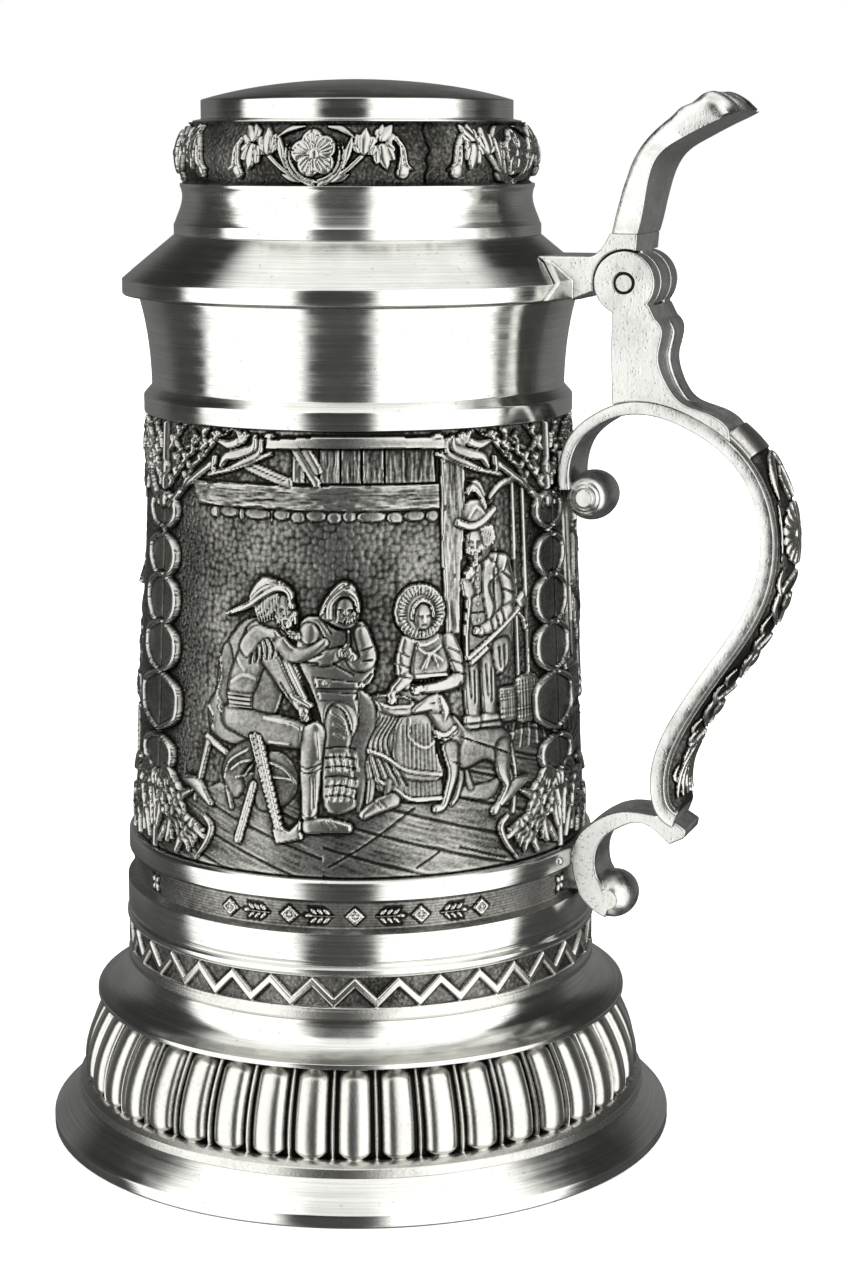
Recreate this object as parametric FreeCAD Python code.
import FreeCAD, Part
import os

from FreeCAD import Vector

# A pewter tankard with a hinged lid, standing on the plane Z = 0 with its axis on Z.
# The handle lies in the plane Y = 0 on the +X side.  All sizes are in millimetres.

# ---------------------------------------------------------------- driving dimensions
# Widths are chained outwards from body_radius, so a change of it carries the rest along.
# body
body_radius = 46.7         # the turned belts below the barrel
zigzag_height = 8.9
lower_belt_height = 8.1
frieze_height = 6.2
upper_belt_height = 3.9
belt_depth = 1.7           # how far the frieze ground lies below the belts
belt_edge = 0.4            # how far the upper belt lies inside the lower one
belt_bead = 0.3            # how far the small round beads stand out
frieze_wall = 1.4          # metal left behind the frieze ground
barrel_height = 82.6
barrel_step = 0.7          # how far the barrel's foot lies inside the belts
barrel_taper = 4.1         # how much the radius shrinks on the way up the barrel
barrel_wall = 2.8
collar_height = 22.2
collar_ring_height = 3.3
collar_ring_step = 0.2
collar_waist = 1.8         # how far the collar draws in from the barrel's top
collar_flare = 2.2         # how far its rim spreads again
collar_wall = 1.8
floor_thickness = 2.0
floor_clearance = 0.1

# foot
gadroon_top_spread = 3.9   # how far the gadroon ring's top stands out past the body
gadroon_spread = 6.7       # how far it spreads on its way down
gadroon_bead = 1.3         # how far the bead at its foot stands out
gadroon_height = 19.4
foot_flare = 5.2           # how far the foot spreads past the gadroon ring
foot_height = 7.7
foot_edge = 2.4            # height of the upright edge that stands on the table
foot_bearing = 3.0         # width of the ring that touches the table
cove_height = 7.0
cove_lip = 2.6             # how far the lip stands out past the gadroon ring
casting_wall = 2.2
socket_depth = 1.6         # how far the cove and zigzag band reach in under the body

# lid
lid_overhang = 3.2         # how far the lid stands out past the collar's rim
lid_gap = 0.2              # between the collar's rim and the lid
lid_edge = 3.3             # height of the upright edge
lid_seat_width = 6.5       # flat ring under the lid that rests on the rim
lid_cone_width = 10.1
lid_cone_height = 8.0
lid_step_height = 2.3
lid_waist_step = 1.7       # how far the neck draws in above the cone
lid_neck_height = 7.4
flower_bulge = 1.4         # how far the flower band swells past the neck
flower_height = 11.4
cap_step = 5.2             # how far the cap lies inside the flower band
cap_bead = 1.6
cap_rim_height = 4.2
cap_dome_height = 3.9
lid_wall = 1.8

# hinge
pin_reach = 10.2           # from the lid's edge out to the pin
pin_rise = 3.3             # from the lid's underside up to the pin
pin_radius = 1.9
pin_nose_radius = 1.5      # the reduced ends of the pin
pin_nose_length = 0.5
pin_clearance = 0.05
knuckle_radius = 5.8
hinge_width = 17.0
middle_knuckle_width = 7.2
knuckle_side_clearance = 0.15
knuckle_sweep_clearance = 0.3
strap_height = 8.0
strap_tongue = 7.2         # how far the strap reaches in over the cone
strap_wing_spread = 16.5   # half the width of the wings that hold the lid's edge
strap_wing_thickness = 0.9
thumb_height = 34.4        # from the pin up to the highest point
thumb_base_width = 16.0
thumb_top_width = 21.0
thumb_seam_rise = 9.0      # from the pin up to the joint under the thumb piece
thumb_front_reach = 2.9    # the thumb piece's foot, inwards and outwards from the pin
thumb_back_reach = 2.3

# handle
handle_width = 13.0
band_thickness = 3.0
band_scroll_thickness = 2.3
relief_strip_height = 3.0
relief_strip_margin = 0.2  # between the strip's edge and the band's edge
strip_start = 0.37         # share of the band's length where the strip begins
scroll_standoff = 0.3      # between the barrel and the scrolls
scroll_drop = 35.5         # from the pin down to the upper scroll's outermost point
shoulder_rise = 8.4        # from there up to the top of the grip
bracket_height = 57.5      # from the table up to the lower scroll's outermost point
bracket_rise = 11.0        # from there up to the foot of the grip
bracket_width = 11.0
grip_reach = 38.6          # from the upper scroll's outermost point to the grip's inside
scroll_roll_radius = 4.6
scroll_boss_radius = 1.8
solder_width = 8.0
solder_height = 7.0
solder_depth = 11.6        # how far the blocks that solder is cut from reach outwards

fine_edge = 0.3            # the small bevels left by the turning tool

# ---------------------------------------------------------------- places worked out
barrel_base_radius = body_radius - barrel_step
barrel_top_radius = barrel_base_radius - barrel_taper
collar_radius = barrel_top_radius - collar_waist
collar_rim_radius = collar_radius + collar_flare
gadroon_top_radius = body_radius + gadroon_top_spread
gadroon_base_radius = gadroon_top_radius + gadroon_spread
foot_radius = gadroon_base_radius + foot_flare
lid_radius = collar_rim_radius + lid_overhang
lid_step_radius = lid_radius - lid_cone_width
lid_waist_radius = lid_step_radius - lid_waist_step
flower_radius = lid_waist_radius + flower_bulge
cap_radius = flower_radius - cap_step
frieze_radius = body_radius - belt_depth
body_bore = frieze_radius - frieze_wall
socket_bore = body_bore - socket_depth
zigzag_radius = body_radius - barrel_step
lid_bore = lid_waist_radius - lid_wall

gadroon_z = foot_height
cove_z = gadroon_z + gadroon_height
zigzag_z = cove_z + cove_height
lower_belt_z = zigzag_z + zigzag_height
frieze_z = lower_belt_z + lower_belt_height
upper_belt_z = frieze_z + frieze_height
barrel_z = upper_belt_z + upper_belt_height
collar_z = barrel_z + barrel_height
rim_z = collar_z + collar_height
lid_z = rim_z + lid_gap
lid_step_z = lid_z + lid_edge + lid_cone_height
lid_neck_z = lid_step_z + lid_step_height
flower_z = lid_neck_z + lid_neck_height
cap_z = flower_z + flower_height
pin_x = lid_radius + pin_reach
pin_z = lid_z + pin_rise
upper_contact_z = pin_z - scroll_drop
shoulder_drop = scroll_drop - shoulder_rise

AXIS = Vector(0, 0, 1)
ACROSS = Vector(0, 1, 0)


# ---------------------------------------------------------------- drawing helpers
def point(x, z, y=0.0):
    return Vector(x, y, z)


def smooth(points):
    """A curve through the (x, z) points."""
    curve = Part.BSplineCurve()
    curve.interpolate([point(x, z) for x, z in points])
    return curve.toShape()


def outline(*pieces):
    """A closed face in the XZ plane.  A piece of one or two points is straight,
    a longer one is a smooth curve, and straight lines join the pieces."""
    edges = []
    for piece, following in zip(pieces, pieces[1:] + pieces[:1]):
        if len(piece) > 2:
            edges.append(smooth(piece))
        elif len(piece) == 2:
            edges.append(Part.LineSegment(point(*piece[0]), point(*piece[1])).toShape())
        if piece[-1] != following[0]:
            edges.append(Part.LineSegment(point(*piece[-1]), point(*following[0])).toShape())
    return Part.Face(Part.Wire(edges))


def turned(*pieces):
    """A solid of revolution about the tankard's axis, from (radius, z) pieces."""
    return outline(*pieces).revolve(Vector(0, 0, 0), AXIS, 360)


def plate(width, *pieces):
    """A plate of that width across the handle's plane, from (x, z) pieces."""
    face = outline(*pieces)
    face.translate(Vector(0, -width / 2, 0))
    return face.extrude(Vector(0, width, 0))


def cross_bar(radius, width, x, z):
    """A cylinder lying across the handle's plane, centred on it."""
    return Part.makeCylinder(radius, width, point(x, z, -width / 2), ACROSS)


def beside(path, first_offset, last_offset, start=0.0, stations=26):
    """Points to the left of the path, from a share of its length on, at a distance
    that changes evenly from the path's one end to the other."""
    curve = Part.BSplineCurve()
    curve.interpolate([point(x, z) for x, z in path])
    first = curve.FirstParameter
    last = curve.LastParameter
    points = []
    for step in range(stations + 1):
        share = start + (1 - start) * step / stations
        parameter = first + (last - first) * share
        place = curve.value(parameter)
        heading = curve.tangent(parameter)[0]
        offset = first_offset + (last_offset - first_offset) * share
        points.append((place.x - heading.z * offset, place.z + heading.x * offset))
    return points


def scroll_roll(x, z, width):
    """The rolled end of a scroll: a bulging roll with a small flat boss at each side."""
    half = width / 2
    waist = (scroll_boss_radius + scroll_roll_radius) / 2
    profile = Part.BSplineCurve()
    profile.interpolate([
        point(x + scroll_boss_radius, z, -half),
        point(x + waist, z, -0.8 * half),
        point(x + scroll_roll_radius, z, 0),
        point(x + waist, z, 0.8 * half),
        point(x + scroll_boss_radius, z, half),
    ])
    centre_low = point(x, z, -half)
    centre_high = point(x, z, half)
    edges = [
        profile.toShape(),
        Part.LineSegment(point(x + scroll_boss_radius, z, half), centre_high).toShape(),
        Part.LineSegment(centre_high, centre_low).toShape(),
        Part.LineSegment(centre_low, point(x + scroll_boss_radius, z, -half)).toShape(),
    ]
    return Part.Face(Part.Wire(edges)).revolve(centre_low, ACROSS, 360)


def barrel_radius_at(z):
    share = (z - barrel_z) / barrel_height
    return barrel_base_radius + (barrel_top_radius - barrel_base_radius) * share


# The handle follows a line that leans with the vessel's side, so that both of its
# scrolls reach the side whatever the vessel's taper is.
upper_contact_x = barrel_radius_at(upper_contact_z) + scroll_standoff
lower_contact_x = body_radius - belt_edge - scroll_standoff


def side_x(z):
    share = (z - bracket_height) / (upper_contact_z - bracket_height)
    return lower_contact_x + (upper_contact_x - lower_contact_x) * share


def from_pin(out, drop):
    """A handle point by its distance out from the side line and down from the pin."""
    z = pin_z - drop
    return (side_x(z) + out, z)


def from_bracket(out, rise):
    """A handle point by its distance out from the side line and up from the bracket."""
    z = bracket_height + rise
    return (side_x(z) + out, z)


def along_grip(reach_share, height_share):
    """A grip point between the bracket's top and the lug, both as shares."""
    bottom = bracket_height + bracket_rise
    top = pin_z - shoulder_drop
    z = bottom + (top - bottom) * height_share
    return (side_x(z) + grip_reach * reach_share, z)


# ---------------------------------------------------------------- foot and body
def foot_flange():
    inner = gadroon_base_radius - casting_wall
    return turned(
        [(foot_radius - foot_bearing, 0), (foot_radius - fine_edge, 0)],
        [(foot_radius, fine_edge), (foot_radius, foot_edge)],
        [(gadroon_base_radius, foot_height), (inner, foot_height)],
        [(inner, foot_height - casting_wall)],
    )


def gadroon_ring():
    base = gadroon_base_radius
    swell = gadroon_spread - gadroon_bead
    outer = [(gadroon_top_radius + swell * out, gadroon_z + gadroon_height * rise)
             for out, rise in ((1.0, 0.12), (1.0, 0.36), (0.67, 0.67), (0.0, 1.0))]
    inner = [(r - casting_wall, z) for r, z in outer][::-1]
    return turned([(base, gadroon_z), (base, gadroon_z + gadroon_bead + fine_edge)], outer, inner,
                  [(base - casting_wall, gadroon_z)])


def foot_cove():
    lip = gadroon_top_radius + cove_lip
    top = cove_z + cove_height
    depth = lip - zigzag_radius
    outer = [(lip, cove_z + 0.14 * cove_height), (lip - 0.67 * depth, cove_z + 0.43 * cove_height),
             (zigzag_radius, top)]
    return turned(
        [(gadroon_top_radius - casting_wall, cove_z), (lip, cove_z)],
        outer,
        [(socket_bore, top), (socket_bore, top - casting_wall)],
    )


def zigzag_band():
    top = zigzag_z + zigzag_height
    ring_low = zigzag_z + 2 * fine_edge
    ring_high = zigzag_z + 0.21 * zigzag_height
    bead = body_radius + belt_bead - 0.1
    band = body_radius - 0.1
    return turned(
        [(socket_bore, zigzag_z), (zigzag_radius, zigzag_z)],
        [(bead, ring_low), (bead, ring_high)],
        [(band, ring_high + 0.5), (band, top)],
        [(socket_bore, top)],
    )


def floor_disc():
    radius = body_bore - floor_clearance
    return Part.makeCylinder(radius, floor_thickness, point(0, lower_belt_z))


def lower_belt():
    top = lower_belt_z + lower_belt_height
    bead = body_radius + belt_bead
    groove = body_radius - 0.5
    rise = lower_belt_height / 20
    return turned(
        [(body_bore, lower_belt_z), (body_radius, lower_belt_z)],
        [(bead, lower_belt_z + rise), (bead, lower_belt_z + 3 * rise)],
        [(groove, lower_belt_z + 4.4 * rise), (groove, lower_belt_z + 5.4 * rise)],
        [(body_radius, lower_belt_z + 6.7 * rise), (body_radius, top)],
        [(body_bore, top)],
    )


def frieze_band():
    top = frieze_z + frieze_height
    slope = 0.11 * frieze_height
    return turned(
        [(body_bore, frieze_z), (body_radius, frieze_z)],
        [(frieze_radius, frieze_z + slope), (frieze_radius, top - slope)],
        [(body_radius - belt_edge, top), (body_bore, top)],
    )


def upper_belt():
    top = upper_belt_z + upper_belt_height
    return turned(
        [(body_bore, upper_belt_z), (body_radius - belt_edge, upper_belt_z)],
        [(body_radius - belt_edge, top - 2 * fine_edge), (barrel_base_radius - fine_edge, top)],
        [(barrel_base_radius - barrel_wall, top)],
    )


def relief_barrel():
    top = barrel_z + barrel_height
    return turned(
        [(barrel_base_radius - barrel_wall, barrel_z), (barrel_base_radius, barrel_z)],
        [(barrel_top_radius, top), (barrel_top_radius - barrel_wall, top)],
    )


def upper_collar():
    ring_top = collar_z + collar_ring_height
    neck_z = ring_top + collar_waist
    ring = barrel_top_radius - collar_ring_step
    length = rim_z - fine_edge - neck_z
    outer = [(collar_radius + collar_flare * out, neck_z + length * rise)
             for out, rise in ((0.0, 0.0), (0.18, 0.42), (0.55, 0.75), (1.0, 1.0))]
    inner = [(r - collar_wall, z) for r, z in outer][::-1]
    return turned(
        [(ring - barrel_wall, collar_z), (ring, collar_z)],
        [(ring, ring_top)],
        outer,
        [(collar_rim_radius - fine_edge, rim_z), (collar_rim_radius - collar_wall, rim_z)],
        inner,
    )


# ---------------------------------------------------------------- lid
def lid_skirt():
    edge_top = lid_z + lid_edge
    seat = lid_radius - lid_seat_width
    return turned(
        [(seat, lid_z), (lid_radius - fine_edge, lid_z)],
        [(lid_radius, lid_z + fine_edge), (lid_radius, edge_top - fine_edge)],
        [(lid_radius - fine_edge, edge_top), (lid_step_radius, lid_step_z)],
        [(lid_step_radius - 1.2 * lid_wall, lid_step_z), (seat, lid_z + lid_wall)],
    )


def lid_neck():
    lip = lid_waist_radius + 0.24 * lid_waist_step
    outer = [(lid_waist_radius + lid_waist_step * out, lid_neck_z + lid_neck_height * rise)
             for out, rise in ((0.88, 0.0), (0.47, 0.24), (0.0, 0.62), (0.24, 0.92))]
    return turned(
        [(lid_bore, lid_step_z), (lid_step_radius, lid_step_z)],
        [(lid_step_radius, lid_neck_z - fine_edge)],
        outer,
        [(lip, flower_z), (lid_bore, flower_z)],
    )


def flower_band():
    top = flower_z + flower_height
    outer = [(flower_radius - flower_bulge * inset, flower_z + flower_height * rise)
             for inset, rise in ((1.07, 0.0), (0.14, 0.27), (0.0, 0.46), (0.43, 0.72), (2.0, 1.0))]
    bore = lid_bore - 0.8
    return turned([(bore, flower_z)], outer, [(bore - 0.6, top)])


def lid_cap():
    rim_top = cap_z + cap_rim_height
    apex = rim_top + cap_dome_height
    dome = [(cap_radius, rim_top), (0.8 * cap_radius, rim_top + 0.39 * cap_dome_height),
            (0.5 * cap_radius, rim_top + 0.77 * cap_dome_height), (0, apex)]
    inside = [(0, apex - lid_wall), (0.5 * cap_radius, rim_top + 0.77 * cap_dome_height - lid_wall),
              (cap_radius - lid_wall, rim_top - 0.9 * lid_wall)]
    bead = cap_radius + cap_bead
    return turned(
        [(cap_radius - lid_wall, cap_z), (bead, cap_z)],
        [(bead, cap_z + fine_edge), (cap_radius, cap_z + 2 * fine_edge)],
        dome,
        inside,
    )


def lid_envelope(extra):
    """The lid's edge and cone as one full solid, grown outwards by extra."""
    edge_top = lid_z + lid_edge
    return turned(
        [(0, lid_z), (lid_radius + extra, lid_z)],
        [(lid_radius + extra, edge_top + 0.3 * extra)],
        [(lid_step_radius + extra, lid_step_z + 0.7 * extra), (0, lid_step_z + 0.7 * extra)],
    )


# ---------------------------------------------------------------- hinge
def ear_space(side):
    """The room that one of the handle's ears needs inside the lid's hinge casting."""
    inner = middle_knuckle_width / 2
    radius = knuckle_radius + knuckle_sweep_clearance
    width = hinge_width / 2 - inner + 1.0
    base = inner if side > 0 else -inner - width
    return Part.makeCylinder(radius, width, point(pin_x, pin_z, base), ACROSS)


def strap_wings():
    """The thin fan that lies on the lid's cone and round its edge."""
    low = lid_z + 0.2
    edge_top = lid_z + lid_edge
    top = lid_z + strap_height
    spread = strap_wing_spread
    fan = [(-spread, low), (-0.75 * spread, edge_top + 0.3), (-0.62 * spread, edge_top + 2.0),
           (-0.4 * spread, top), (0.4 * spread, top), (0.62 * spread, edge_top + 2.0),
           (0.75 * spread, edge_top + 0.3), (spread, low)]
    corners = [Vector(0.6 * lid_radius, y, z) for y, z in fan]
    wedge = Part.Face(Part.makePolygon(corners + corners[:1])).extrude(Vector(lid_radius, 0, 0))
    return lid_envelope(strap_wing_thickness).common(wedge)


def lid_strap():
    low = lid_z + 0.3
    top = lid_z + strap_height
    seam = pin_z + thumb_seam_rise
    inner_x = lid_radius - strap_tongue
    block = plate(
        thumb_base_width,
        [(inner_x, low), (lid_radius + 0.07 * pin_reach, low)],
        [(lid_radius + 0.49 * pin_reach, low + 0.5 * pin_rise), (pin_x, pin_z)],
        [(pin_x + 0.87 * thumb_back_reach, pin_z + 0.9 * knuckle_radius), (pin_x + thumb_back_reach, seam)],
        [(pin_x - thumb_front_reach, seam), (pin_x - 1.17 * thumb_front_reach, seam - 0.9),
         (lid_radius + 0.41 * pin_reach, top + fine_edge), (lid_radius + 0.22 * pin_reach, top)],
        [(inner_x, top)],
    )
    casting = block.fuse(strap_wings()).cut(lid_envelope(0))
    for side in (-1, 1):
        casting = casting.cut(ear_space(side))
    barrel_width = middle_knuckle_width
    casting = casting.fuse(cross_bar(knuckle_radius, barrel_width, pin_x, pin_z))
    return casting.cut(cross_bar(pin_radius + pin_clearance, hinge_width, pin_x, pin_z)).removeSplitter()


def thumb_piece():
    seam = pin_z + thumb_seam_rise
    top = pin_z + thumb_height
    rise = top - seam
    front = [(pin_x - thumb_front_reach, seam), (pin_x - 1.9, seam + 0.19 * rise),
             (pin_x - 0.2, seam + 0.40 * rise), (pin_x + 4.0, seam + 0.68 * rise),
             (pin_x + 9.2, seam + 0.86 * rise), (pin_x + 15.0, seam + 0.98 * rise), (pin_x + 18.6, top)]
    back = [(pin_x + 21.4, seam + 0.87 * rise), (pin_x + 16.0, seam + 0.78 * rise),
            (pin_x + 11.0, seam + 0.68 * rise), (pin_x + 6.8, seam + 0.57 * rise),
            (pin_x + 4.0, seam + 0.30 * rise), (pin_x + thumb_back_reach, seam)]
    side_view = plate(max(thumb_base_width, thumb_top_width), front, back)
    base_half = thumb_base_width / 2
    top_half = thumb_top_width / 2
    right_side = [(base_half, seam - 1), (base_half + 0.6, seam + 0.24 * rise),
                  (top_half, seam + 0.67 * rise), (top_half - 1.0, top + 1.0)]
    left_side = [(-y, z) for y, z in right_side][::-1]
    corners = [Vector(0, y, z) for y, z in right_side + left_side]
    wedge = Part.Face(Part.makePolygon(corners + corners[:1])).extrude(Vector(2 * pin_x, 0, 0))
    return side_view.common(wedge)


def hinge_pin():
    shaft = cross_bar(pin_radius, hinge_width - 2 * pin_nose_length, pin_x, pin_z)
    nose = cross_bar(pin_nose_radius, hinge_width, pin_x, pin_z)
    return shaft.fuse(nose)


# ---------------------------------------------------------------- handle
def band_path():
    """The inside of the handle, from the upper roll over the top and down the grip."""
    return [
        from_pin(2.3, scroll_drop + 3.4), from_pin(2.4, scroll_drop), from_pin(3.3, scroll_drop - 3.9),
        from_pin(6.8, shoulder_drop + 0.6), from_pin(12.1, shoulder_drop - 2.2),
        from_pin(18.4, shoulder_drop - 2.6),
        along_grip(0.673, 1.0), along_grip(0.856, 0.932), along_grip(0.970, 0.832),
        along_grip(1.0, 0.717), along_grip(0.947, 0.589), along_grip(0.769, 0.437),
        along_grip(0.564, 0.283), along_grip(0.445, 0.156), along_grip(0.424, 0.061),
        along_grip(0.453, 0.007), along_grip(0.528, -0.026),
    ]


def band_plate(width):
    """The band at that width across the handle's plane."""
    inside = beside(band_path(), 0, 0)
    outside = beside(band_path(), band_scroll_thickness, band_thickness)
    return plate(width, inside, outside[::-1])


def handle_band():
    x, z = upper_roll_centre()
    return band_plate(handle_width).fuse(scroll_roll(x, z, handle_width)).removeSplitter()


def upper_roll_centre():
    return from_pin(5.0, scroll_drop + 5.0)


def band_space():
    """The room that the band takes up, made wider than anything that rests on it."""
    return band_plate(2 * hinge_width)


def hinge_lug():
    """The plate that rises from the band and carries the two ears."""
    drop = shoulder_drop
    lug = plate(
        hinge_width,
        [(pin_x - 0.38 * knuckle_radius, pin_z - 0.9 * knuckle_radius), from_pin(11.0, drop - 5.6)],
        [from_pin(11.0, drop - 3.5), from_pin(18.4, drop - 3.8), from_pin(24.5, drop - 2.1),
         from_pin(29.0, drop + 0.2), from_pin(33.4, drop + 2.8)],
        [from_pin(33.2, drop - 0.7), from_pin(28.4, drop - 3.7), from_pin(24.4, drop - 5.2),
         from_pin(21.4, 0.65 * drop), from_pin(20.6, 0.49 * drop), from_pin(21.5, 0.31 * drop),
         from_pin(20.3, 0.24 * drop)],
        [(pin_x + 0.84 * knuckle_radius, pin_z - 0.74 * knuckle_radius), (pin_x, pin_z)],
    )
    ears = cross_bar(knuckle_radius, hinge_width, pin_x, pin_z)
    lug = lug.fuse(ears)
    half = hinge_width / 2
    foot_half = handle_width / 2
    right_side = [(foot_half, pin_z - drop - 3.0), (foot_half, pin_z - 0.79 * drop),
                  (half, pin_z - 0.44 * drop), (half, pin_z + 2 * knuckle_radius)]
    left_side = [(-y, z) for y, z in right_side][::-1]
    corners = [Vector(0, y, z) for y, z in right_side + left_side]
    wedge = Part.Face(Part.makePolygon(corners + corners[:1])).extrude(Vector(3 * pin_x, 0, 0))
    slot_width = middle_knuckle_width + 2 * knuckle_side_clearance
    slot = cross_bar(knuckle_radius + knuckle_sweep_clearance, slot_width, pin_x, pin_z)
    lug = lug.common(wedge).cut(slot).cut(band_space())
    return lug.cut(cross_bar(pin_radius, 2 * hinge_width, pin_x, pin_z)).removeSplitter()


def strip_step(width, height):
    """A bar on the band's outside that grows out of the middle of the band."""
    root = beside(band_path(), band_scroll_thickness / 2, band_thickness / 2, strip_start)
    crest = beside(band_path(), band_scroll_thickness + height, band_thickness + 0.8 * height, strip_start)
    return plate(width, root, crest[::-1])


def relief_strip():
    """The raised ornament that runs down the back of the grip, in two steps."""
    low_step = strip_step(handle_width - 2 * relief_strip_margin, relief_strip_height / 2)
    high_step = strip_step(0.62 * handle_width, relief_strip_height)
    return low_step.fuse(high_step).cut(band_space()).cut(hinge_lug()).removeSplitter()


def lower_roll_centre():
    return from_bracket(7.0, -6.6)


def lower_bracket():
    """The scroll that carries the handle's lower end and is joined to the belts."""
    bracket = plate(
        bracket_width,
        [from_bracket(16.9, 10.9), from_bracket(13.3, 11.2), from_bracket(9.7, 11.0),
         from_bracket(6.7, 9.9), from_bracket(3.9, 8.1), from_bracket(1.7, 6.0),
         from_bracket(0.3, 3.1), from_bracket(0.0, 0.0), from_bracket(0.4, -3.4),
         from_bracket(1.5, -6.3), from_bracket(3.5, -8.6), from_bracket(6.5, -10.4)],
        [lower_roll_centre()],
        [from_bracket(5.0, -2.0), from_bracket(4.7, 0.8), from_bracket(5.3, 3.6),
         from_bracket(7.2, 6.1), from_bracket(9.8, 7.9), from_bracket(12.7, 9.1),
         from_bracket(15.3, 8.9), from_bracket(17.2, 7.7), from_bracket(19.6, 5.5)],
        [from_bracket(22.6, 7.0), from_bracket(23.0, 8.6)],
        [from_bracket(18.2, 11.6)],
    )
    x, z = lower_roll_centre()
    bracket = bracket.fuse(scroll_roll(x, z, bracket_width))
    belts = Part.makeCylinder(body_radius - belt_edge, barrel_z, point(0, 0))
    return bracket.cut(belts).cut(band_space()).removeSplitter()


def upper_solder():
    """The joint between the barrel and the upper scroll."""
    low = upper_contact_z - solder_height / 2
    block = Part.makeBox(solder_depth, solder_width, solder_height,
                         point(upper_contact_x - solder_depth / 2, low, -solder_width / 2))
    barrel = turned([(0, barrel_z), (barrel_base_radius, barrel_z)],
                    [(barrel_top_radius, collar_z), (0, collar_z)])
    joint = block.cut(barrel).cut(band_space())
    return min(joint.Solids, key=lambda solid: solid.CenterOfMass.x)


def lower_solder():
    """The joint between the frieze's ground and the bracket."""
    low = frieze_z + 0.15 * frieze_height
    high = upper_belt_z
    block = Part.makeBox(solder_depth, solder_width, high - low,
                         point(lower_contact_x - solder_depth / 2, low, -solder_width / 2))
    belts = Part.makeCylinder(frieze_radius, barrel_z, point(0, 0))
    joint = block.cut(belts).cut(frieze_band()).cut(lower_bracket())
    return min(joint.Solids, key=lambda solid: solid.CenterOfMass.x)


PIECES = {
    "foot_flange": foot_flange,
    "gadroon_ring": gadroon_ring,
    "foot_cove": foot_cove,
    "zigzag_band": zigzag_band,
    "floor_disc": floor_disc,
    "lower_belt": lower_belt,
    "frieze_band": frieze_band,
    "upper_belt": upper_belt,
    "relief_barrel": relief_barrel,
    "upper_collar": upper_collar,
    "lid_skirt": lid_skirt,
    "lid_neck": lid_neck,
    "flower_band": flower_band,
    "lid_cap": lid_cap,
    "lid_strap": lid_strap,
    "thumb_piece": thumb_piece,
    "hinge_pin": hinge_pin,
    "handle_band": handle_band,
    "hinge_lug": hinge_lug,
    "relief_strip": relief_strip,
    "lower_bracket": lower_bracket,
    "upper_solder": upper_solder,
    "lower_solder": lower_solder,
}


def main():
    os.makedirs("parts", exist_ok=True)
    for name, make in PIECES.items():
        shape = make()
        shape.exportStep(f"parts/{name}.step")
        box = shape.BoundBox
        print(f"{name:14s} solids {len(shape.Solids)} volume {shape.Volume:9.1f} "
              f"x {box.XMin:7.2f} {box.XMax:7.2f} y {box.YMin:7.2f} {box.YMax:7.2f} "
              f"z {box.ZMin:7.2f} {box.ZMax:7.2f} valid {shape.isValid()}")


main()
